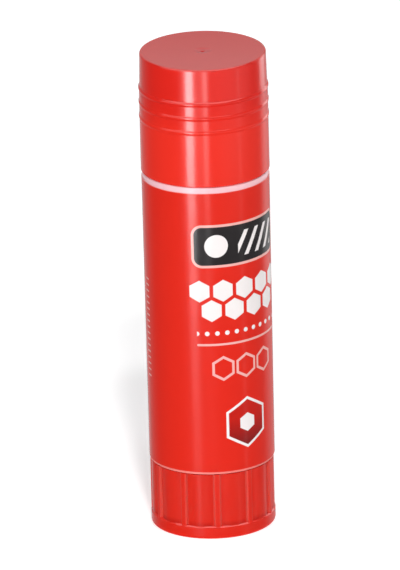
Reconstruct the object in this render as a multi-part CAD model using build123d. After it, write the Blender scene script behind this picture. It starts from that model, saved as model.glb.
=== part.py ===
"""A large twist-up glue stick, standing on its knob, in millimetres.

The origin is the middle of the underside of the knob, and +Z is the stick's own axis.
Turning the knob turns the spindle, and the spindle's left-hand thread lifts the glue carrier,
which four ribs in the barrel keep from turning. The cap pushes on over the barrel's neck.
"""
from build123d import *
import math
import os

# Heights up the stick
knob_height = 16.05
knob_gap = 0.15
label_foot_margin = 0.6
label_height = 69.25
collar_height = 1.45
neck_height = 13.5
cap_seat_gap = 0.1
cap_height = 28.8

# Barrel
collar_radius = 14.89
barrel_draft = 0.27
neck_step = 1.01
neck_wall = 1.0
neck_bead_proud = 0.1
neck_bead_width = 1.2
neck_bead_rise = 3.2
mouth_round = 0.4
mouth_chamfer = 0.2
barrel_edge_round = 0.3
floor_thickness = 2.0
floor_drop = 0.6
floor_chamfer = 0.3
spigot_step = 1.87
spigot_wall = 1.3
spigot_depth = 4.4
spigot_chamfer = 0.4
guide_count = 4
guide_width = 1.6
guide_proud = 0.9
guide_mouth_drop = 2.0
bond = 0.02

# Label, a film wrapped once round the barrel and lapped over itself at the back
film = 0.12
lap_width = 2.6

# Cap
cap_wall = 1.02
cap_fit = 0.2
cap_crown_step = 0.13
cap_crown_draft = 0.16
cap_ring_count = 3
cap_ring_pitch = 3.5
cap_ring_drop = 8.45
cap_ring_proud = 0.15
cap_ring_width = 1.1
cap_edge_round = 0.45
cap_lip_bevel = 0.2
cap_lead_in = 0.4
cap_top_thickness = 1.4
cap_ceiling_chamfer = 0.8
cap_seat_width = 0.5
cap_seat_lift = 0.3
gate_dish_radius = 2.1
gate_dish_depth = 0.16
gate_stub_radius = 0.4
gate_stub_height = 0.1

# Knob
rim_proud = 0.02
rim_height = 3.2
rim_bevel = 0.28
foot_round = 0.8
flute_count = 11
flute_phase = -86.2
rib_inset = 0.04
rib_width = 1.5
rib_round = 0.35
lobe_inset = 0.14
lobe_arc_share = 0.414
groove_round = 0.2
groove_side_share = 0.7
knob_fit = 0.25
knob_floor_thickness = 1.6
foot_ring_width = 1.7
foot_recess_depth = 1.0
hub_wall = 2.15
web_count = 6
web_thickness = 1.0
web_gap = 0.5

# Spindle
journal_radius = 3.55
journal_fit = 0.1
flange_width = 2.45
flange_thickness = 1.2
flange_gap = 0.15
flange_bevel = 0.2
hub_gap = 0.15
drive_step = 0.32
drive_fit = 0.1
socket_rise = 0.6
barb_proud = 0.22
barb_height = 1.2
barb_rise = 1.6
barb_length = 0.5
thread_lead = 8.0
thread_starts = 2
thread_step = 0.25
thread_depth = 0.8
thread_crest_share = 0.4
spindle_tip_drop = 7.0
tip_taper = 1.0

# Carrier, the cup that holds the foot of the glue and works as the nut
carrier_gap = 0.35
carrier_fit = 0.23
carrier_floor = 1.6
cup_height = 5.0
cup_wall = 1.35
nut_wall = 1.8
nut_length = 10.0
thread_radial_fit = 0.2
thread_axial_fit = 0.18
guide_fit = 0.25
grip_count = 4
grip_thickness = 1.0
grip_height = 3.0

# Glue
glue_fit = 0.2
glue_seam = 0.05
glue_drop = 3.0
glue_round = 0.6
bore_fit = 0.4
bore_tip_room = 1.0

# One overrun for every cut that runs out through a face
overrun = 1.0

# Heights worked out from the values above
foot_z = knob_height + knob_gap
label_z = foot_z + label_foot_margin
label_top_z = label_z + label_height
collar_z = label_top_z + collar_height
mouth_z = collar_z + neck_height
cap_z = collar_z + cap_seat_gap
cap_top_z = cap_z + cap_height
ceiling_z = cap_top_z - cap_top_thickness
floor_under_z = foot_z - floor_drop
floor_z = floor_under_z + floor_thickness
spigot_z = floor_under_z - spigot_depth
neck_bead_z = collar_z + neck_bead_rise
hub_z = floor_under_z - hub_gap
flange_z = floor_z + flange_gap
thread_z = flange_z + flange_thickness
carrier_z = thread_z + carrier_gap
glue_z = carrier_z + carrier_floor
cup_z = carrier_z + cup_height
nut_z = carrier_z + nut_length
glue_top_z = mouth_z - glue_drop
tip_z = glue_top_z - spindle_tip_drop + bore_tip_room
bore_top_z = tip_z + bore_tip_room
knob_floor_z = foot_recess_depth + knob_floor_thickness
socket_z = knob_floor_z + socket_rise

# Radii worked out from the values above
foot_radius = collar_radius - barrel_draft
neck_radius = collar_radius - neck_step
bore_radius = neck_radius - neck_wall
spigot_radius = foot_radius - spigot_step
guide_radius = bore_radius - guide_proud
cap_bore_radius = neck_radius + cap_fit
cap_skirt_radius = cap_bore_radius + cap_wall
cap_room_radius = neck_radius - cap_seat_width
cap_shoulder_radius = cap_skirt_radius - cap_crown_step
cap_crown_radius = cap_shoulder_radius - cap_crown_draft
rim_radius = foot_radius + rim_proud
rib_radius = rim_radius - rib_inset
lobe_crest_radius = rim_radius - lobe_inset
lobe_arc_radius = lobe_crest_radius * lobe_arc_share
knob_bore_radius = spigot_radius + knob_fit
drive_radius = journal_radius - drive_step
barb_radius = drive_radius + barb_proud
hub_radius = barb_radius + hub_wall
flange_radius = journal_radius + flange_width
thread_crest_radius = journal_radius - thread_step
thread_root_radius = thread_crest_radius - thread_depth
floor_hole_radius = journal_radius + journal_fit
carrier_radius = bore_radius - carrier_fit
cup_bore_radius = carrier_radius - cup_wall
nut_bore_radius = thread_crest_radius + thread_radial_fit
nut_radius = nut_bore_radius + nut_wall
glue_radius = bore_radius - glue_fit
glue_bore_radius = thread_crest_radius + bore_fit
wall_slope = barrel_draft / (collar_z - foot_z)


def barrel_radius_at(z):
    """The outside of the tapered barrel at a height."""
    return foot_radius + wall_slope * (z - foot_z)


def turned(outline):
    """A solid of revolution from its closed half outline, given as lines and arcs."""
    return revolve(Plane.XZ * make_face(outline), Axis.Z)


def tube(outer, inner, low, high):
    """A plain ring between two heights, or a disc where the inner radius is zero."""
    points = [(inner, low), (outer, low), (outer, high), (inner, high)]
    return turned(Polyline(*points, close=True))


def round_the_axis(shape, count, phase=0.0):
    """Copies of a shape at equal turns about the stick's axis."""
    return [Rot(0, 0, phase + 360.0 * k / count) * shape for k in range(count)]


def upright_bar(near, far, width, low, high):
    """A bar that reaches out along +X from one radius to another."""
    middle = Pos((near + far) / 2, 0, (low + high) / 2)
    return middle * Box(far - near, width, high - low)


def edges_at(shape, z, radius):
    """The round edges of a turned solid at one height and radius."""
    found = shape.edges().filter_by(GeomType.CIRCLE)
    slack = film / 10
    return found.filter_by(lambda e: abs(e.arc_center.Z - z) < slack and abs(e.radius - radius) < slack)


def ring_heights():
    """Middle heights of the grip rings round the cap, lowest first."""
    top = cap_top_z - cap_ring_drop
    return [top - cap_ring_pitch * k for k in reversed(range(cap_ring_count))]


def make_cap():
    """The push-on cap: a cup with grip rings, a tapered crown and a seat over the barrel's mouth."""
    rings = ring_heights()
    half_ring = cap_ring_width / 2
    crown_foot_z = rings[-1] + half_ring
    seat_z = mouth_z + cap_seat_lift
    side = []
    here = (cap_skirt_radius, cap_z)
    for z in rings:
        start = (cap_skirt_radius, z - half_ring)
        crest = (cap_skirt_radius + cap_ring_proud, z)
        last = z == rings[-1]
        end = (cap_shoulder_radius if last else cap_skirt_radius, z + half_ring)
        side.append(Line(here, start))
        side.append(ThreePointArc(start, crest, end))
        here = end
    top_corner = (cap_crown_radius, cap_top_z)
    rest = Polyline(
        (cap_shoulder_radius, crown_foot_z),
        top_corner,
        (0, cap_top_z),
        (0, ceiling_z),
        (cap_room_radius, ceiling_z),
        (cap_room_radius, seat_z),
        (cap_bore_radius, seat_z),
        (cap_bore_radius, cap_z),
        (cap_skirt_radius, cap_z),
    )
    cap = turned(side + [rest])
    cap = fillet(edges_at(cap, cap_top_z, cap_crown_radius), cap_edge_round)
    cap = chamfer(edges_at(cap, ceiling_z, cap_room_radius), cap_ceiling_chamfer)
    cap = chamfer(edges_at(cap, cap_z, cap_skirt_radius), cap_lip_bevel)
    cap = chamfer(edges_at(cap, cap_z, cap_bore_radius), cap_lead_in)
    groove_low = neck_bead_z - neck_bead_width / 2 - cap_fit
    groove_high = neck_bead_z + neck_bead_width / 2 + cap_fit
    cap -= tube(cap_bore_radius + neck_bead_proud, cap_bore_radius - overrun, groove_low, groove_high)
    dish_floor_z = cap_top_z - gate_dish_depth
    ball_radius = (gate_dish_radius**2 + gate_dish_depth**2) / (2 * gate_dish_depth)
    cap -= Pos(0, 0, dish_floor_z + ball_radius) * Sphere(ball_radius)
    cap += tube(gate_stub_radius, 0, dish_floor_z - gate_stub_height, dish_floor_z + gate_stub_height)
    return cap


def make_barrel():
    """The barrel: tapered body, neck with a snap bead, floor, spigot and anti-turn guide ribs."""
    outline = Polyline(
        (floor_hole_radius, floor_under_z),
        (spigot_radius - spigot_wall, floor_under_z),
        (spigot_radius - spigot_wall, spigot_z),
        (spigot_radius, spigot_z),
        (spigot_radius, foot_z),
        (foot_radius, foot_z),
        (collar_radius, collar_z),
        (neck_radius, collar_z),
        (neck_radius, mouth_z),
        (bore_radius, mouth_z),
        (bore_radius, floor_z),
        (floor_hole_radius, floor_z),
        close=True,
    )
    barrel = turned(outline)
    barrel = fillet(edges_at(barrel, foot_z, foot_radius), barrel_edge_round)
    barrel = fillet(edges_at(barrel, collar_z, collar_radius), barrel_edge_round)
    barrel = fillet(edges_at(barrel, mouth_z, neck_radius), mouth_round)
    barrel = chamfer(edges_at(barrel, mouth_z, bore_radius), mouth_chamfer)
    barrel = chamfer(edges_at(barrel, floor_z, bore_radius), floor_chamfer)
    barrel = chamfer(edges_at(barrel, spigot_z, spigot_radius), spigot_chamfer)
    half_bead = neck_bead_width / 2
    bead_start = (neck_radius, neck_bead_z - half_bead)
    bead_crest = (neck_radius + neck_bead_proud, neck_bead_z)
    bead_end = (neck_radius, neck_bead_z + half_bead)
    bead_back = Polyline(
        bead_end,
        (neck_radius - neck_wall / 2, neck_bead_z + half_bead),
        (neck_radius - neck_wall / 2, neck_bead_z - half_bead),
        bead_start,
    )
    barrel += turned([ThreePointArc(bead_start, bead_crest, bead_end), bead_back])
    root = bore_radius + neck_wall / 2
    guide_low = floor_z - floor_thickness / 2
    guide = upright_bar(guide_radius, root, guide_width, guide_low, mouth_z - guide_mouth_drop)
    for rib in round_the_axis(guide, guide_count, 360.0 / guide_count / 2):
        barrel += rib
    return barrel


def make_label():
    """The printed film: one tapered wrap and the strip where its end laps over its start."""

    def wrap(inner_step, turn):
        low = barrel_radius_at(label_z) + inner_step
        high = barrel_radius_at(label_top_z) + inner_step
        corners = [(low, label_z), (low + film, label_z), (high + film, label_top_z), (high, label_top_z)]
        return revolve(Plane.XZ * make_face(Polyline(*corners, close=True)), Axis.Z, turn)

    lap_turn = math.degrees(lap_width / collar_radius)
    lap = Rot(0, 0, 90 - lap_turn / 2) * wrap(bond + film, lap_turn)
    return wrap(bond, 360) + lap


def rib_side_height():
    """How far a rib's straight side stands out of the lobes next to it."""
    half_pitch = math.radians(180.0 / flute_count)
    lobe_centre = lobe_crest_radius - lobe_arc_radius
    across = lobe_centre * math.sin(half_pitch) - rib_width / 2
    side_foot = lobe_centre * math.cos(half_pitch) + math.sqrt(lobe_arc_radius**2 - across**2)
    return rib_radius - rib_round - side_foot


def flute_plan():
    """The knob's outline above the rim: bulging lobes with a narrow rib between each two."""
    lobe_centre = lobe_crest_radius - lobe_arc_radius
    rib_root = lobe_crest_radius - 2 * rib_width
    plan = Circle(knob_bore_radius + (lobe_crest_radius - knob_bore_radius) / 4)
    lobe = Pos(lobe_centre, 0) * Circle(lobe_arc_radius)
    half_pitch = 180.0 / flute_count
    for piece in round_the_axis(lobe, flute_count, flute_phase + half_pitch):
        plan += piece
    reach = rib_radius - rib_root
    rib = Pos(rib_root + reach / 2, 0) * Rectangle(reach, rib_width)
    corners = rib.vertices().sort_by(Axis.X)[-2:]
    rib = fillet(corners, rib_round)
    for piece in round_the_axis(rib, flute_count, flute_phase):
        plan += piece
    groove_corners = plan.vertices().sort_by_distance((0, 0, 0))[: 2 * flute_count]
    return fillet(groove_corners, min(groove_round, rib_side_height() * groove_side_share))


def make_knob():
    """The knob: fluted cup on a round rim, with the hub that drives the spindle."""
    foot_inner = rim_radius - foot_round - foot_ring_width
    rim = Polyline(
        (0, foot_recess_depth),
        (foot_inner, foot_recess_depth),
        (foot_inner, 0),
        (rim_radius, 0),
        (rim_radius, rim_height),
        (0, rim_height),
        close=True,
    )
    knob = turned(rim)
    knob = fillet(edges_at(knob, 0, rim_radius), foot_round)
    knob = chamfer(edges_at(knob, rim_height, rim_radius), rim_bevel)
    body_foot_z = rim_height - rim_bevel
    body = extrude(Pos(0, 0, body_foot_z) * flute_plan(), knob_height - body_foot_z)
    knob += body
    knob -= tube(knob_bore_radius, 0, knob_floor_z, knob_height + overrun)
    knob += tube(hub_radius, 0, knob_floor_z, hub_z)
    web_near = hub_radius - web_thickness
    web_far = knob_bore_radius + web_thickness / 2
    web = upright_bar(web_near, web_far, web_thickness, knob_floor_z, spigot_z - web_gap)
    for piece in round_the_axis(web, web_count):
        knob += piece
    socket = RegularPolygon(drive_radius + drive_fit, 6)
    knob -= extrude(Pos(0, 0, socket_z) * socket, hub_z - socket_z + overrun)
    undercut_low = socket_z + barb_rise - drive_fit
    knob -= tube(barb_radius + drive_fit, 0, undercut_low, undercut_low + barb_height + 2 * drive_fit)
    return knob


def thread_section(crest_radius, root_radius, widen):
    """The thread cut across the axis: for each start a crest and a hollow, both arcs.

    widen is how far each crest grows on both sides, in degrees.
    """
    step = 360.0 / thread_starts
    crest_half = step * thread_crest_share / 2 + widen

    def at(radius, degrees):
        return (radius * math.cos(math.radians(degrees)), radius * math.sin(math.radians(degrees)))

    edges = []
    for k in range(thread_starts):
        middle = step * k
        crest = [at(crest_radius, middle + side * crest_half) for side in (-1, 0, 1)]
        next_crest = at(crest_radius, middle + step - crest_half)
        edges.append(ThreePointArc(*crest))
        edges.append(ThreePointArc(crest[-1], at(root_radius, middle + step / 2), next_crest))
    return make_face(edges)


def threaded(section, low, high):
    """A left-hand thread: the section twisted as it rises, in step with every other thread here."""
    start_turn = -360.0 * (low - thread_z) / thread_lead
    twist = -360.0 * (high - low) / thread_lead
    placed = Rot(0, 0, start_turn) * section
    rod = Solid.extrude_linear_with_rotation(placed.face().outer_wire(), (0, 0, 0), (0, 0, high - low), twist)
    return Pos(0, 0, low) * rod


def make_spindle():
    """The spindle: hexagonal drive with a snap barb, journal, flange and the lifting thread."""
    section = thread_section(thread_crest_radius, thread_root_radius, 0)
    screw = threaded(section, thread_z, tip_z)
    keep = turned(
        Polyline(
            (0, thread_z - overrun),
            (thread_crest_radius + overrun, thread_z - overrun),
            (thread_crest_radius + overrun, tip_z - tip_taper - overrun),
            (thread_root_radius - tip_taper, tip_z),
            (0, tip_z),
            close=True,
        )
    )
    screw = screw & keep
    flange = tube(flange_radius, 0, flange_z, thread_z)
    flange = chamfer(edges_at(flange, thread_z, flange_radius), flange_bevel)
    journal = tube(journal_radius, 0, hub_z, flange_z)
    drive_z = socket_z + 2 * drive_fit
    drive = extrude(Pos(0, 0, drive_z) * RegularPolygon(drive_radius, 6), hub_z - drive_z)
    barb_z = socket_z + barb_rise
    barb_flat = barb_height - barb_length
    hidden = thread_root_radius
    barb = turned(
        Polyline(
            (0, barb_z),
            (hidden, barb_z),
            (barb_radius, barb_z + barb_length),
            (barb_radius, barb_z + barb_length + barb_flat),
            (0, barb_z + barb_length + barb_flat),
            close=True,
        )
    )
    return screw + flange + journal + drive + barb


def guide_slot(low, high):
    """The slot that a moving piece needs round one of the barrel's guide ribs."""
    near = guide_radius - guide_fit
    return upright_bar(near, bore_radius + overrun, guide_width + 2 * guide_fit, low, high)


def make_carrier():
    """The carrier: floor, cup wall, threaded nut boss and the fins that grip the glue."""
    carrier = tube(carrier_radius, 0, carrier_z, glue_z)
    carrier += tube(carrier_radius, cup_bore_radius, carrier_z, cup_z)
    carrier += tube(nut_radius, 0, carrier_z, nut_z)
    fin_far = cup_bore_radius + cup_wall / 2
    fin = upright_bar(nut_radius - nut_wall / 2, fin_far, grip_thickness, carrier_z, glue_z + grip_height)
    for piece in round_the_axis(fin, grip_count):
        carrier += piece
    slot = guide_slot(carrier_z - overrun, cup_z + overrun)
    for piece in round_the_axis(slot, guide_count, 360.0 / guide_count / 2):
        carrier -= piece
    widen = 360.0 * thread_axial_fit / thread_lead
    section = thread_section(nut_bore_radius, thread_root_radius + thread_radial_fit, widen)
    carrier -= threaded(section, carrier_z - overrun, nut_z + overrun)
    return carrier


def make_glue():
    """The stick of glue, cast on the carrier, with grooves for the guide ribs and a bore for the spindle."""
    glue = tube(glue_radius, 0, cup_z + glue_seam, glue_top_z)
    glue = fillet(edges_at(glue, glue_top_z, glue_radius), glue_round)
    glue += tube(cup_bore_radius - glue_seam, 0, glue_z + glue_seam, cup_z + glue_seam)
    glue -= tube(nut_radius + glue_seam, 0, glue_z - overrun, nut_z + glue_seam)
    glue -= tube(glue_bore_radius, 0, glue_z - overrun, bore_top_z)
    cut_width = grip_thickness + 2 * glue_seam
    cut_top_z = glue_z + grip_height + glue_seam
    fin = upright_bar(nut_radius, cup_bore_radius + overrun, cut_width, glue_z - overrun, cut_top_z)
    for piece in round_the_axis(fin, grip_count):
        glue -= piece
    slot = guide_slot(glue_z - overrun, glue_top_z + overrun)
    for piece in round_the_axis(slot, guide_count, 360.0 / guide_count / 2):
        glue -= piece
    return glue


makers = {
    "cap": make_cap,
    "barrel": make_barrel,
    "label": make_label,
    "knob": make_knob,
    "spindle": make_spindle,
    "carrier": make_carrier,
    "glue": make_glue,
}

os.makedirs("parts", exist_ok=True)
for name, make in makers.items():
    export_step(make(), f"parts/{name}.step")
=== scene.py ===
"""Looks of the glue stick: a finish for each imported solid, the studio around it, and the camera."""

import math

import bpy
from mathutils import Matrix, Vector

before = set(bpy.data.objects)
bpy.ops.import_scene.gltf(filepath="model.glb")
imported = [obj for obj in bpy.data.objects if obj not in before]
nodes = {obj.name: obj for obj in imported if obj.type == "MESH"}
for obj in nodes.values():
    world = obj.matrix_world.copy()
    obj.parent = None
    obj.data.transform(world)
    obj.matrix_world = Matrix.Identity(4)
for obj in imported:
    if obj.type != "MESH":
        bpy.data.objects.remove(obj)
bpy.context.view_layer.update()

MM = 0.001

# Heights on the stick, in millimetres above the table
MOUTH = 101.0
CAP_TOP = 116.2
LABEL_FOOT = 16.8
LABEL_TOP = 86.05

# The knob, in millimetres, with the angle of one of its ribs from the camera's side, in degrees
FLUTE_COUNT = 11
FIRST_RIB_ANGLE = 3.8
KNOB_RADIUS = 14.5
RIM_HEIGHT = 3.2
RIB_HALF_WIDTH = 0.74
# Width of the painted highlight along each rib's edge
RIB_PAINTED_HIGHLIGHT_WIDTH = 0.36

# The label's print: angles from the camera's side in degrees, radius and heights in millimetres
LABEL_RADIUS = 14.9
FRONT_PRINT_ANGLE = 35.0
DARK_PANEL_HEIGHT = 73.0
COMB_HEIGHT = 61.9
DOTS_HEIGHT = 51.4
RULE_HEIGHT = 48.6
THIN_CELLS_HEIGHT = 42.6
BADGE_HEIGHT = 28.4
OUTLINE_WIDTH = 0.62
BACK_PANEL_ANGLE = -128.0
DASHES_ANGLE = -72.0
BACK_PRINT_HEIGHT = 50.0

# Colours, as linear red, green and blue
RED = (0.73, 0.022, 0.011)
# Deep red of the print, and the painted shade at the knob's flute feet
DEEP_RED = (0.55, 0.014, 0.008)
CAP_RED = (0.71, 0.0175, 0.0105)
# Painted glow of the pale neck through the cap's wall
CAP_RED_PAINTED_NECK_GLOW = (0.81, 0.028, 0.0152)
# Painted shade of the gate's shallow dish on the cap's top
GATE_PAINTED_SHADE_RED = (0.64, 0.004, 0.003)
KNOB_RED = (0.70, 0.026, 0.014)
# Painted highlight along the knob's rib edges
KNOB_PAINTED_HIGHLIGHT_RED = (0.70, 0.085, 0.064)
MAROON = (0.22, 0.012, 0.012)
CHARCOAL = (0.020, 0.017, 0.018)
INK_WHITE = (0.90, 0.84, 0.83)
INK_PINK = (0.88, 0.46, 0.42)
# The film's unprinted core, and the painted red bounce at the barrel's foot
FILM_CORE = (0.92, 0.25, 0.22)
# Painted red reflection on the white barrel
COLLAR_PAINTED_REFLECTION_PINK = (0.92, 0.56, 0.61)
NATURAL_WHITE = (0.88, 0.87, 0.84)
GLUE_CREAM = (0.90, 0.87, 0.77)
WHITE = (1.0, 1.0, 1.0)
COOL_WHITE = (0.96, 0.975, 1.0)

# The camera, fitted to the outline of the stick in the photograph, in degrees, metres and pixels
CAMERA_ELEVATION = 19.341
CAMERA_ROLL = 1.396
CAMERA_DISTANCE = 3.888
PIXELS_PER_MM = 4.2605
AIM_HEIGHT = 0.057
AIM_PIXEL = (208.23, 290.26)
IMAGE_SIZE = (400, 570)
SENSOR_MM = 36.0

# Far lamps: name, azimuth, elevation and softness in degrees, and the share of full white they give
LAMPS = [
    ("key", 4.0, 40.0, 4.0, 0.31),
    ("steeper_key", 6.0, 51.0, 4.0, 0.26),
    ("high_key", 17.0, 71.0, 9.0, 0.09),
    ("front_fill", -28.0, 25.0, 50.0, 0.24),
    ("level_back_fill", 149.0, -6.0, 60.0, 0.55),
    ("left_bounce_from_table", -60.0, -40.0, 60.0, 0.60),
    ("right_bounce_from_table", 60.0, -40.0, 60.0, 0.60),
    ("back_bounce_from_table", 180.0, -40.0, 60.0, 0.60),
]

# Strips: name, azimuth and spread in degrees, foot, top and distance in metres, brightness, colour
STRIPS = [
    ("main_strip", -25.8, 13.5, -0.082, 0.13, 0.50, 16.0, COOL_WHITE),
    ("main_strip_foot", -25.8, 13.5, -0.40, -0.082, 0.50, 0.45, WHITE),
    ("second_strip", 2.5, 8.0, -0.077, 0.13, 0.50, 5.4, WHITE),
    ("halo_beside_main", -38.0, 11.0, -0.072, 0.13, 0.50, 0.7, WHITE),
    ("halo_between", -10.2, 17.0, -0.075, 0.13, 0.50, 1.35, WHITE),
    ("cap_haze", 52.0, 110.0, -0.085, 0.10, 0.505, 0.35, WHITE),
    ("crown_haze", 46.0, 110.0, -0.068, 0.10, 0.51, 0.32, WHITE),
    ("front_card", -50.0, 56.0, 0.03, 0.45, 0.50, 1.3, WHITE),
    ("thin_strip", 65.0, 3.5, -0.40, 0.30, 0.50, 0.8, WHITE),
    ("side_card", 134.0, 23.0, -0.130, 0.30, 0.50, 0.35, WHITE),
    ("side_card_top", 134.0, 23.0, -0.052, 0.30, 0.51, 1.7, WHITE),
    ("card_behind", 180.0, 100.0, 0.1585, 0.30, 0.12, 0.37, WHITE),
]

# How bright the studio's wall is in reflections, by the azimuth in degrees
WALL = [
    (-180, 0.57), (-162, 0.66), (-146, 0.40), (-130, 0.26), (-110, 0.08),
    (-60, 0.02), (-20, 0.08), (20, 0.10), (60, 0.10), (112, 0.20),
    (124, 0.45), (146, 0.50), (165, 0.45), (172, 0.62), (180, 0.57),
]


class Field:
    """A number that varies over a surface, so that shader maths reads as ordinary sums."""

    def __init__(self, tree, socket):
        self.tree = tree
        self.socket = socket

    def _with(self, operation, *others, clamp=False):
        node = self.tree.nodes.new("ShaderNodeMath")
        node.operation = operation
        node.use_clamp = clamp
        for slot, value in zip(node.inputs, (self, *others)):
            put(self.tree, slot, value)
        return Field(self.tree, node.outputs[0])

    def __add__(self, other):
        return self._with("ADD", other)

    def __sub__(self, other):
        return self._with("SUBTRACT", other)

    def __mul__(self, other):
        return self._with("MULTIPLY", other)

    def __truediv__(self, other):
        return self._with("DIVIDE", other)

    def __neg__(self):
        return self * -1.0

    def __abs__(self):
        return self._with("ABSOLUTE")

    def root(self):
        return self._with("SQRT")

    def lesser(self, other):
        return self._with("MINIMUM", other)

    def greater(self, other):
        return self._with("MAXIMUM", other)

    def angle_from(self, other):
        return self._with("ARCTAN2", other)

    def repeated(self, pitch):
        """The distance to the nearest of a row of points that are pitch apart."""
        return self._with("PINGPONG", pitch / 2)

    def clamped(self):
        return self._with("ADD", 0.0, clamp=True)


def put(tree, slot, value):
    """Gives an input its value: a field or socket is linked, and a number or colour is set."""
    if isinstance(value, Field):
        tree.links.new(value.socket, slot)
    elif isinstance(value, bpy.types.NodeSocket):
        tree.links.new(value, slot)
    elif isinstance(value, tuple) and len(value) == 3 and slot.type == "RGBA":
        slot.default_value = (*value, 1.0)
    else:
        slot.default_value = value


def new_material(name):
    """An empty procedural material: its tree and its principled shader."""
    material = bpy.data.materials.new(name)
    material.use_nodes = True
    tree = material.node_tree
    return material, tree, tree.nodes["Principled BSDF"]


def place(tree):
    """The point on the surface in millimetres, as x, y and z fields and as one vector."""
    coordinates = tree.nodes.new("ShaderNodeTexCoord")
    scaled = tree.nodes.new("ShaderNodeVectorMath")
    scaled.operation = "SCALE"
    tree.links.new(coordinates.outputs["Object"], scaled.inputs[0])
    scaled.inputs["Scale"].default_value = 1 / MM
    split = tree.nodes.new("ShaderNodeSeparateXYZ")
    tree.links.new(scaled.outputs[0], split.inputs[0])
    x, y, z = (Field(tree, output) for output in split.outputs)
    return x, y, z, scaled.outputs[0]


def noise(tree, vector, size, detail=2.0, stretch=(1.0, 1.0, 1.0)):
    """Soft noise from 0 to 1 whose features are about size millimetres across."""
    mapping = tree.nodes.new("ShaderNodeMapping")
    mapping.inputs["Scale"].default_value = stretch
    tree.links.new(vector, mapping.inputs["Vector"])
    texture = tree.nodes.new("ShaderNodeTexNoise")
    texture.inputs["Scale"].default_value = 1 / size
    texture.inputs["Detail"].default_value = detail
    tree.links.new(mapping.outputs["Vector"], texture.inputs["Vector"])
    return Field(tree, texture.outputs["Fac"])


def mixed(tree, factor, first, second):
    """The colour that goes from first to second as factor goes from 0 to 1."""
    node = tree.nodes.new("ShaderNodeMix")
    node.data_type = "RGBA"
    put(tree, node.inputs["Factor"], factor)
    put(tree, node.inputs["A"], first)
    put(tree, node.inputs["B"], second)
    return node.outputs["Result"]


def rise(field, low, high):
    """0 below low, 1 above high, and a straight line between them."""
    return ((field - low) / (high - low)).clamped()


def shaded(tree, colour, variation, amount):
    """The colour made a little darker and lighter by a field that runs from 0 to 1."""
    node = tree.nodes.new("ShaderNodeHueSaturation")
    put(tree, node.inputs["Color"], colour)
    put(tree, node.inputs["Value"], (variation - 0.5) * (2 * amount) + 1.0)
    return node.outputs["Color"]


def bump(tree, shader, height, depth):
    """Gives the shader small relief: height runs from 0 to 1 over depth millimetres."""
    node = tree.nodes.new("ShaderNodeBump")
    node.inputs["Strength"].default_value = 1.0
    node.inputs["Distance"].default_value = depth * MM
    put(tree, node.inputs["Height"], height)
    tree.links.new(node.outputs["Normal"], shader.inputs["Normal"])


def moulded_plastic(name, colour_of, roughness, clearness=0.0):
    """Glossy moulded plastic: colour_of gives its colour, with faint flow marks and uneven gloss.

    clearness is the share of the light that spreads under the surface before it comes out.
    """
    material, tree, shader = new_material(name)
    x, y, z, point = place(tree)
    flow = noise(tree, point, 6.0, detail=3.0, stretch=(1.0, 1.0, 0.35))
    grain = noise(tree, point, 0.9, detail=2.0)
    colour = shaded(tree, colour_of(tree, x, y, z), flow, amount=0.03)
    put(tree, shader.inputs["Base Color"], colour)
    patches = noise(tree, point, 2.5, detail=3.0)
    put(tree, shader.inputs["Roughness"], (patches - 0.5) * 0.06 + roughness)
    bump(tree, shader, grain, depth=0.0012)
    shader.inputs["Subsurface Weight"].default_value = clearness
    shader.inputs["Subsurface Radius"].default_value = (1.0, 0.25, 0.15)
    shader.inputs["Subsurface Scale"].default_value = 1.2 * MM
    return material


def cap_colour(tree, x, y, z):
    """The cap has a painted glow where the pale neck sits inside it, and painted shade round the gate
    at the top's middle.
    """
    # Painted light: a lighter red below the mouth stands for the pale neck showing through the cap's
    # wall
    colour = mixed(tree, rise(z, MOUTH - 1.5, MOUTH + 6.0), CAP_RED_PAINTED_NECK_GLOW, CAP_RED)
    # Painted shade: a darker red round the gate stands for the gate dish's darker reflection
    near_middle = rise(-(x * x + y * y).root(), -2.4, -1.4)
    on_top = rise(z, CAP_TOP - 0.5, CAP_TOP)
    return mixed(tree, near_middle * on_top, colour, GATE_PAINTED_SHADE_RED)


def knob_colour(tree, x, y, z):
    """The ribs' edges carry a painted highlight, and the flutes a painted shade at their feet by the
    rim.
    """
    turn = x.angle_from(-y) - math.radians(FIRST_RIB_ANGLE)
    from_rib = (turn * KNOB_RADIUS).repeated(2 * math.pi * KNOB_RADIUS / FLUTE_COUNT)
    above_rim = rise(z, RIM_HEIGHT - 0.1, RIM_HEIGHT + 0.3)
    # Painted highlight: the ribs' rounded edges are painted lighter, for the light lines they reflect
    rib_edge_highlight = (-(abs(from_rib - RIB_HALF_WIDTH) / RIB_PAINTED_HIGHLIGHT_WIDTH) + 1.0).clamped() * above_rim
    near_rim = rise(-z, -RIM_HEIGHT - 1.3, -RIM_HEIGHT - 0.2)
    # Painted shade: the flutes are painted darker red at their feet, where shade falls by the rim
    flute_foot_shade = rise(from_rib, 0.9, 1.6) * above_rim * near_rim
    colour = mixed(tree, rise(z, 2.0, 5.0), RED, KNOB_RED)
    colour = mixed(tree, flute_foot_shade, colour, DEEP_RED)
    return mixed(tree, rib_edge_highlight, colour, KNOB_PAINTED_HIGHLIGHT_RED)


def barrel_colour(tree, x, y, z):
    """The white barrel is painted pale pink for the red light that the parts round it throw on it,
    and deeper towards its foot, where the red film and knob shine on it.
    """
    return mixed(tree, rise(z, LABEL_FOOT, LABEL_TOP), FILM_CORE, COLLAR_PAINTED_REFLECTION_PINK)


def natural_colour(tree, x, y, z):
    """Undyed plastic, a touch yellower towards its foot."""
    return mixed(tree, rise(z, 0.0, LABEL_TOP), GLUE_CREAM, NATURAL_WHITE)


# Shapes of the print, as distances in millimetres to their edge, below 0 inside

def disc(u, v, radius):
    return (u * u + v * v).root() - radius


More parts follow.
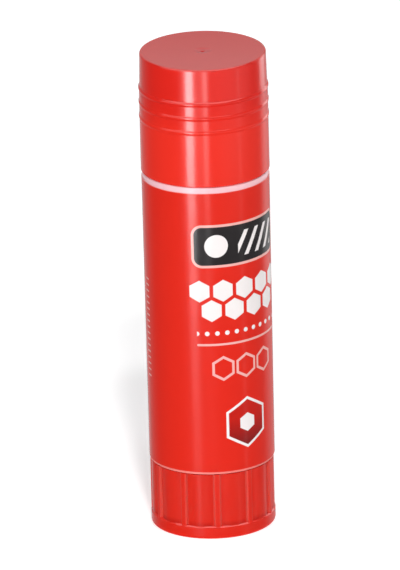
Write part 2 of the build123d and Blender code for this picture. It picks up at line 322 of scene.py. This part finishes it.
def slab(u, v, half_width, half_height, corner):
    """A rectangle with round corners."""
    a = abs(u) - (half_width - corner)
    b = abs(v) - (half_height - corner)
    a_out = a.greater(0.0)
    b_out = b.greater(0.0)
    return (a_out * a_out + b_out * b_out).root() + a.greater(b).lesser(0.0) - corner


def hexagon(u, v, inner_radius):
    """A hexagon that stands on one of its corners."""
    slope = math.sqrt(0.75)
    return abs(u).greater(abs(u) * 0.5 + abs(v) * slope) - inner_radius


def stroke(distance, width):
    """A line of that width along the edge of a shape."""
    return abs(distance) - width / 2


def ink(distance, softness=0.08):
    """How much of the ink is there: 1 inside the shape and 0 outside."""
    return (distance / -softness + 0.5).clamped()


def printed_design(tree, colour, angle, z):
    """The label's plain geometric print, laid over the film's own colour."""
    u = (angle - math.radians(FRONT_PRINT_ANGLE)) * LABEL_RADIUS

    # A dark panel with a pale outline, a disc at its left and slanted stripes at its right
    v = z - DARK_PANEL_HEIGHT
    panel = slab(u, v, 12.6, 5.0, 2.2)
    colour = mixed(tree, ink(panel), colour, CHARCOAL)
    motif = disc(u + 7.0, v, 2.8)
    stripes = abs(((u - v * 0.55) + 24.0).repeated(3.3)) - 0.62
    motif = motif.lesser(stripes.greater(slab(u - 4.6, v, 6.2, 3.1, 0.4)))
    colour = mixed(tree, ink(motif), colour, INK_WHITE)
    colour = mixed(tree, ink(stroke(panel, OUTLINE_WIDTH)), colour, INK_PINK)

    # A white honeycomb
    pitch = 5.6
    comb = None
    for row, count in ((0, 5), (1, 4)):
        v = z - COMB_HEIGHT + row * pitch * math.sqrt(0.75)
        for place_in_row in range(count):
            cell = hexagon(u - (place_in_row - (count - 1) / 2) * pitch, v, 2.35)
            comb = cell if comb is None else comb.lesser(cell)
    colour = mixed(tree, ink(comb), colour, INK_WHITE)

    # A row of dots over a thin rule
    half_row = 12.0
    dots = disc(u.repeated(2.4), z - DOTS_HEIGHT, 0.55).greater(abs(u) - half_row)
    rule = slab(u, z - RULE_HEIGHT, half_row, 0.26, 0.2)
    colour = mixed(tree, ink(dots), colour, INK_WHITE)
    colour = mixed(tree, ink(rule), colour, INK_PINK)

    # Thin outlined cells
    thin = None
    for step in (-1.0, 0.0, 1.0):
        cell = stroke(hexagon(u - step * 5.9, z - THIN_CELLS_HEIGHT, 2.4), 0.6)
        thin = cell if thin is None else thin.lesser(cell)
    colour = mixed(tree, ink(thin), colour, INK_PINK)

    # A badge with a pale edge that darkens towards its foot
    v = z - BADGE_HEIGHT
    badge = hexagon(u, v, 5.2)
    fill = mixed(tree, rise(v, -5.0, 1.5), MAROON, DEEP_RED)
    colour = mixed(tree, ink(badge), colour, fill)
    colour = mixed(tree, ink(stroke(badge, OUTLINE_WIDTH)), colour, INK_WHITE)
    return mixed(tree, ink(hexagon(u, v, 2.0)), colour, INK_WHITE)


def back_panel(tree, colour, angle, z):
    """A blank panel on the back with ruled lines, and a column of short dashes beside it."""
    u = (angle - math.radians(BACK_PANEL_ANGLE)) * LABEL_RADIUS
    v = z - BACK_PRINT_HEIGHT
    panel = slab(u, v, 8.5, 17.0, 1.6)
    lines = slab(u, v.repeated(7.0), 6.4, 0.16, 0.1).greater(abs(v) - 14.2)
    colour = mixed(tree, ink(panel), colour, INK_WHITE)
    colour = mixed(tree, ink(lines), colour, RED)
    u = (angle - math.radians(DASHES_ANGLE)) * LABEL_RADIUS
    dashes = slab(u, v.repeated(1.5), 0.9, 0.2, 0.15).greater(abs(v) - 12.2)
    return mixed(tree, ink(dashes) * 0.7, colour, INK_PINK)


def label_film():
    """Printed film: satin ink, a faint weave from the press, and a pale cut edge."""
    material, tree, shader = new_material("printed_label_film")
    x, y, z, point = place(tree)
    angle = x.angle_from(-y)
    patches = noise(tree, point, 5.0, detail=3.0)
    colour = printed_design(tree, RED, angle, z)
    colour = back_panel(tree, colour, angle, z)
    from_middle = abs(z - (LABEL_TOP + LABEL_FOOT) / 2)
    printed = ink(from_middle - ((LABEL_TOP - LABEL_FOOT) / 2 - 0.06), softness=0.03)
    colour = mixed(tree, printed, FILM_CORE, colour)
    put(tree, shader.inputs["Base Color"], shaded(tree, colour, patches, amount=0.025))
    rows = noise(tree, point, 0.35, detail=1.0, stretch=(0.35, 0.35, 1.6))
    put(tree, shader.inputs["Roughness"], (noise(tree, point, 1.6) - 0.5) * 0.08 + 0.19)
    bump(tree, shader, rows * 0.5 + patches * 0.5, depth=0.003)
    return material


def glue_wax():
    """Soap-gel glue: creamy, a little see-through, with soft swirls where it was poured."""
    material, tree, shader = new_material("waxy_glue")
    *_, point = place(tree)
    swirls = noise(tree, point, 3.0, detail=4.0, stretch=(1.0, 1.0, 0.4))
    grain = noise(tree, point, 0.5, detail=2.0)
    colour = mixed(tree, swirls, GLUE_CREAM, NATURAL_WHITE)
    put(tree, shader.inputs["Base Color"], colour)
    put(tree, shader.inputs["Roughness"], swirls * 0.2 + 0.28)
    shader.inputs["Subsurface Weight"].default_value = 0.35
    shader.inputs["Subsurface Radius"].default_value = (1.0, 0.8, 0.5)
    shader.inputs["Subsurface Scale"].default_value = 1.5 * MM
    bump(tree, shader, swirls * 0.8 + grain * 0.2, depth=0.06)
    return material


def dress(node, material):
    """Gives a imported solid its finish."""
    node.data.materials.clear()
    node.data.materials.append(material)


def point_at(azimuth, height, distance):
    """A point round the stick: azimuth 0 is the camera's side, and it grows to the right."""
    turn = math.radians(azimuth)
    return Vector((distance * math.sin(turn), -distance * math.cos(turn), height))


def area_light(name, position, target, width, height, brightness, colour):
    """A rectangle of even light that faces the target, unseen itself; brightness 1 is white."""
    data = bpy.data.lights.new(name, "AREA")
    data.shape = "RECTANGLE"
    data.size = width
    data.size_y = height
    data.energy = brightness * math.pi * width * height
    data.color = colour
    light = bpy.data.objects.new(name, data)
    light.location = position
    light.rotation_euler = (position - target).to_track_quat("Z", "Y").to_euler()
    light.visible_camera = False
    bpy.context.scene.collection.objects.link(light)
    return light


def reflected_strip(name, azimuth, spread, foot, top, distance, brightness, colour):
    """A tall strip that shows only as a reflection; its foot may lie below the table."""
    middle = (foot + top) / 2
    position = point_at(azimuth, middle, distance)
    target = Vector((0.0, 0.0, middle))
    width = 2 * distance * math.tan(math.radians(spread / 2))
    light = area_light(name, position, target, width, top - foot, brightness, colour)
    light.visible_diffuse = False


def soft_lamp(name, azimuth, elevation, softness, share):
    """A far lamp that lights surfaces but leaves no reflection; softness is how wide it looks."""
    data = bpy.data.lights.new(name, "SUN")
    data.energy = share * math.pi
    data.angle = math.radians(softness)
    data.cycles.use_multiple_importance_sampling = False
    lamp = bpy.data.objects.new(name, data)
    above = math.radians(elevation)
    direction = point_at(azimuth, math.sin(above), math.cos(above))
    lamp.rotation_euler = direction.to_track_quat("Z", "Y").to_euler()
    lamp.visible_glossy = False
    bpy.context.scene.collection.objects.link(lamp)


def studio_lights():
    """The lamps, the strips and cards that the gloss reflects, and a wide soft box overhead."""
    for lamp in LAMPS:
        soft_lamp(*lamp)
    for strip in STRIPS:
        reflected_strip(*strip)
    position = Vector((0.0, -0.25, 0.9))
    target = Vector((0.0, 0.0, 0.1))
    overhead = area_light(
        "overhead", position, target, width=1.8, height=1.5, brightness=3.0, colour=WHITE)
    overhead.visible_diffuse = False


def studio_world():
    """White to the camera, dim to matt surfaces, and a softly shaded wall in reflections."""
    world = bpy.data.worlds.new("studio")
    bpy.context.scene.world = world
    world.use_nodes = True
    world.cycles.sampling_method = "NONE"
    tree = world.node_tree
    direction = tree.nodes.new("ShaderNodeTexCoord")
    split = tree.nodes.new("ShaderNodeSeparateXYZ")
    tree.links.new(direction.outputs["Generated"], split.inputs[0])
    x, y = (Field(tree, split.outputs[axis]) for axis in "XY")
    turn = x.angle_from(-y) / (2 * math.pi) + 0.5
    wall = tree.nodes.new("ShaderNodeValToRGB")
    tree.links.new(turn.socket, wall.inputs["Fac"])
    # A new ramp has two stops of its own: one goes before the others come, and one after
    stops = wall.color_ramp.elements
    stops.remove(stops[1])
    for azimuth, brightness in WALL:
        stop = stops.new(azimuth / 360 + 0.5)
        stop.color = (brightness, brightness, brightness, 1.0)
    stops.remove(stops[0])
    rays = tree.nodes.new("ShaderNodeLightPath")
    dim = (0.10, 0.10, 0.105)
    colour = mixed(tree, rays.outputs["Is Glossy Ray"], dim, wall.outputs["Color"])
    colour = mixed(tree, rays.outputs["Is Camera Ray"], colour, WHITE)
    tree.links.new(colour, tree.nodes["Background"].inputs["Color"])


def studio_floor():
    """A plain white table that glows a little, so that shadows on it stay faint."""
    half = 6.0
    mesh = bpy.data.meshes.new("floor")
    corners = [(-half, -half, 0.0), (half, -half, 0.0), (half, half, 0.0), (-half, half, 0.0)]
    mesh.from_pydata(corners, [], [(0, 1, 2, 3)])
    floor = bpy.data.objects.new("floor", mesh)
    bpy.context.scene.collection.objects.link(floor)
    material, tree, shader = new_material("floor_white")
    put(tree, shader.inputs["Base Color"], (0.72, 0.72, 0.72))
    put(tree, shader.inputs["Roughness"], 1.0)
    put(tree, shader.inputs["Specular IOR Level"], 0.0)
    put(tree, shader.inputs["Emission Color"], WHITE)
    put(tree, shader.inputs["Emission Strength"], 0.57)
    material.cycles.emission_sampling = "NONE"
    mesh.materials.append(material)
    # The lamps and strips below the table stand for what it would send back to the stick
    floor.visible_glossy = False
    floor.visible_diffuse = False
    floor.visible_shadow = False


def photograph_camera():
    """The camera stands where the photograph's did, with the stick at the same place in the frame."""
    elevation = math.radians(CAMERA_ELEVATION)
    roll = math.radians(CAMERA_ROLL)
    forward = Vector((0.0, math.cos(elevation), -math.sin(elevation)))
    level_right = Vector((1.0, 0.0, 0.0))
    level_up = level_right.cross(forward)
    right = level_right * math.cos(roll) - level_up * math.sin(roll)
    up = level_right * math.sin(roll) + level_up * math.cos(roll)
    aim = Vector((0.0, 0.0, AIM_HEIGHT))
    metres_per_pixel = MM / PIXELS_PER_MM
    aside = (AIM_PIXEL[0] - IMAGE_SIZE[0] / 2) * metres_per_pixel
    below = (AIM_PIXEL[1] - IMAGE_SIZE[1] / 2) * metres_per_pixel
    position = aim - forward * CAMERA_DISTANCE - right * aside + up * below
    data = bpy.data.cameras.new("camera")
    data.sensor_width = SENSOR_MM
    data.lens = PIXELS_PER_MM / MM * CAMERA_DISTANCE * SENSOR_MM / max(IMAGE_SIZE)
    data.clip_end = 30.0
    camera = bpy.data.objects.new("camera", data)
    facing = Matrix((right, up, -forward)).transposed().to_4x4()
    camera.matrix_world = Matrix.Translation(position) @ facing
    bpy.context.scene.collection.objects.link(camera)
    bpy.context.scene.camera = camera


photograph_camera()
studio_floor()
studio_world()
studio_lights()
bpy.context.scene.view_settings.view_transform = "Standard"

dress(nodes["cap"], moulded_plastic("cap_gloss_red", cap_colour, roughness=0.18))
dress(nodes["barrel"], moulded_plastic("barrel_painted_pink_reflection", barrel_colour, roughness=0.32))
dress(nodes["label"], label_film())
dress(nodes["knob"], moulded_plastic("knob_gloss_red", knob_colour, roughness=0.20, clearness=0.6))
dress(nodes["spindle"], moulded_plastic("spindle_natural", natural_colour, roughness=0.38))
dress(nodes["carrier"], moulded_plastic("carrier_natural", natural_colour, roughness=0.38))
dress(nodes["glue"], glue_wax())
